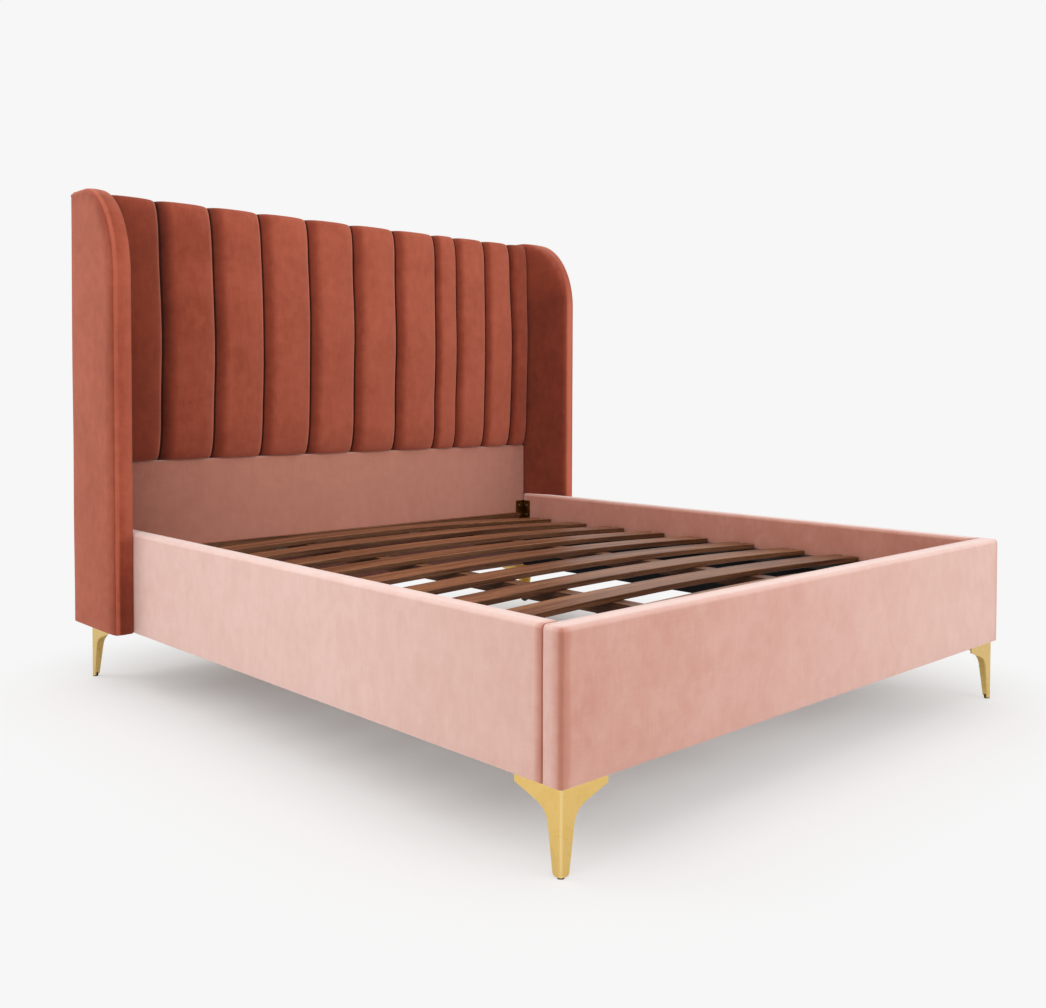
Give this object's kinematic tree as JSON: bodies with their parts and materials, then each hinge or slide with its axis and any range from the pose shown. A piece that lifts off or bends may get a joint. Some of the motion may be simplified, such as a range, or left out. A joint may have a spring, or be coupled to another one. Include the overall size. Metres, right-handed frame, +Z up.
{
  "type": "bed frame",
  "caption": "Upholstered bed frame with a channelled headboard, curved wings, padded rails, bowed timber slats and angled metal corner legs.",
  "frame": {"origin": "on the floor under the middle of the bed's footprint, wings included", "axes": "+X to the right when seen from the foot, +Y from the foot towards the headboard, +Z up"},
  "size_m": [2.03, 2.205, 1.586],
  "materials": {
    "terracotta_velvet": "velvet",
    "blush_velvet": "velvet",
    "walnut": "satin stain",
    "black_timber": "black stain",
    "frame_timber": "planed softwood",
    "board": "plywood",
    "lining_cloth": "nonwoven",
    "brushed_brass": "brushed",
    "antique_brass": "antiqued",
    "steel_fasteners": "plated",
    "zinc_steel": "zinc plated",
    "black_steel": "powder coat",
    "black_plastic": "moulded"
  },
  "bodies": {
    "frame": {"beam_hangers": "zinc_steel", "bracket_screws": "steel_fasteners", "channel_pad_01": "terracotta_velvet", "channel_pad_02": "terracotta_velvet", "channel_pad_03": "terracotta_velvet", "channel_pad_04": "terracotta_velvet", "channel_pad_05": "terracotta_velvet", "channel_pad_06": "terracotta_velvet", "channel_pad_07": "terracotta_velvet", "channel_pad_08": "terracotta_velvet", "channel_pad_09": "terracotta_velvet", "channel_pad_10": "terracotta_velvet", "channel_pad_11": "terracotta_velvet", "corner_brackets": "antique_brass", "foot_cross_board": "walnut", "foot_rail_core": "frame_timber", "foot_rail_cover": "blush_velvet", "head_cross_board": "walnut", "headboard_back_cloth": "lining_cloth", "headboard_backing_board": "board", "headboard_bottom_rail": "frame_timber", "headboard_mid_rail": "frame_timber", "headboard_stile_left": "frame_timber", "headboard_stile_right": "frame_timber", "headboard_top_rail": "frame_timber", "leg_foot_left": "brushed_brass", "leg_foot_right": "brushed_brass", "leg_glides": "black_plastic", "leg_head_left": "brushed_brass", "leg_head_right": "brushed_brass", "leg_screws": "steel_fasteners", "long_beam_left": "walnut", "long_beam_right": "walnut", "lower_panel_pad": "blush_velvet", "rail_linings": "lining_cloth", "side_cleat_left": "black_timber", "side_cleat_right": "black_timber", "side_rail_core_left": "frame_timber", "side_rail_core_right": "frame_timber", "side_rail_cover_left": "blush_velvet", "side_rail_cover_right": "blush_velvet", "slat_01": "walnut", "slat_02": "walnut", "slat_03": "walnut", "slat_04": "walnut", "slat_05": "walnut", "slat_06": "walnut", "slat_07": "walnut", "slat_08": "walnut", "slat_09": "walnut", "slat_screws": "steel_fasteners", "support_leg_left": "black_steel", "support_leg_right": "black_steel", "wing_bolts": "steel_fasteners", "wing_core_left": "board", "wing_core_right": "board", "wing_cover_left": "terracotta_velvet", "wing_cover_right": "terracotta_velvet"},
    "foot_left": {"levelling_foot_left": "black_plastic"},
    "foot_right": {"levelling_foot_right": "black_plastic"}
  },
  "joints": [
    {"name": "level_left", "type": "slide", "parent": "frame", "child": "foot_left", "axis": [0, 0, -1], "range_m": [0, 0.015]},
    {"name": "level_right", "type": "slide", "parent": "frame", "child": "foot_right", "axis": [0, 0, -1], "range_m": [0, 0.015]}
  ]
}
